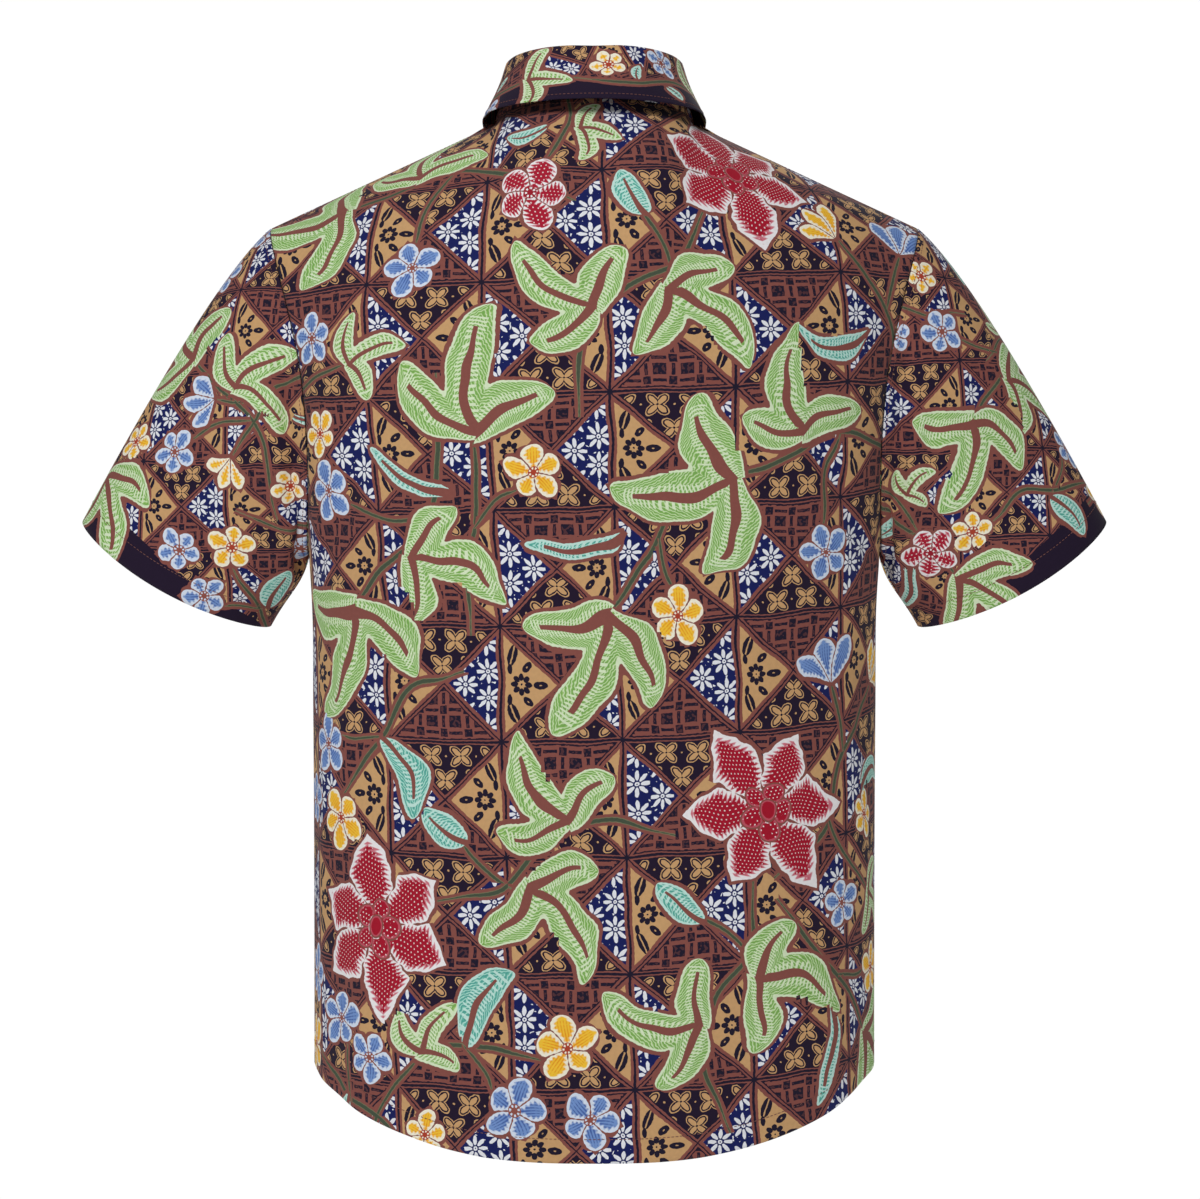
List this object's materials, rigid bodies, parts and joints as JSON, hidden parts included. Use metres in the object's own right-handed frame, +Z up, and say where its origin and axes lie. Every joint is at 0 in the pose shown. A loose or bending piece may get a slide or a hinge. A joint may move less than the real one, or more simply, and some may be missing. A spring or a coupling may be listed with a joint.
{
  "type": "batik shirt",
  "caption": "Short-sleeved batik shirt with a buttoned front, turned-down collar and rounded tails, filled out hollow as it is worn.",
  "frame": {"origin": "midway between the two neck points (inner ends of the shoulder seams), level with them, where the wearer's shoulders hold the shirt", "axes": "+Z up, the buttoned front faces -Y, the back faces +Y, and the wearer's left sleeve points to +X"},
  "size_m": [0.7488, 0.2596, 0.7806],
  "materials": {
    "back_cloth": "printed cotton",
    "front_left_cloth": "printed cotton",
    "front_right_cloth": "printed cotton",
    "sleeve_left_cloth": "printed cotton",
    "sleeve_right_cloth": "printed cotton",
    "collar_stand_cloth": "printed cotton",
    "collar_fall_cloth": "printed cotton",
    "button_plastic": "polished"
  },
  "bodies": {
    "root": {"back": "back_cloth", "front_left": "front_left_cloth", "front_right": "front_right_cloth", "sleeve_left": "sleeve_left_cloth", "sleeve_right": "sleeve_right_cloth", "collar_stand": "collar_stand_cloth", "collar_fall": "collar_fall_cloth", "button_1": "button_plastic", "button_2": "button_plastic", "button_3": "button_plastic", "button_4": "button_plastic", "button_5": "button_plastic", "button_6": "button_plastic", "button_collar": "button_plastic"}
  },
  "joints": []
}
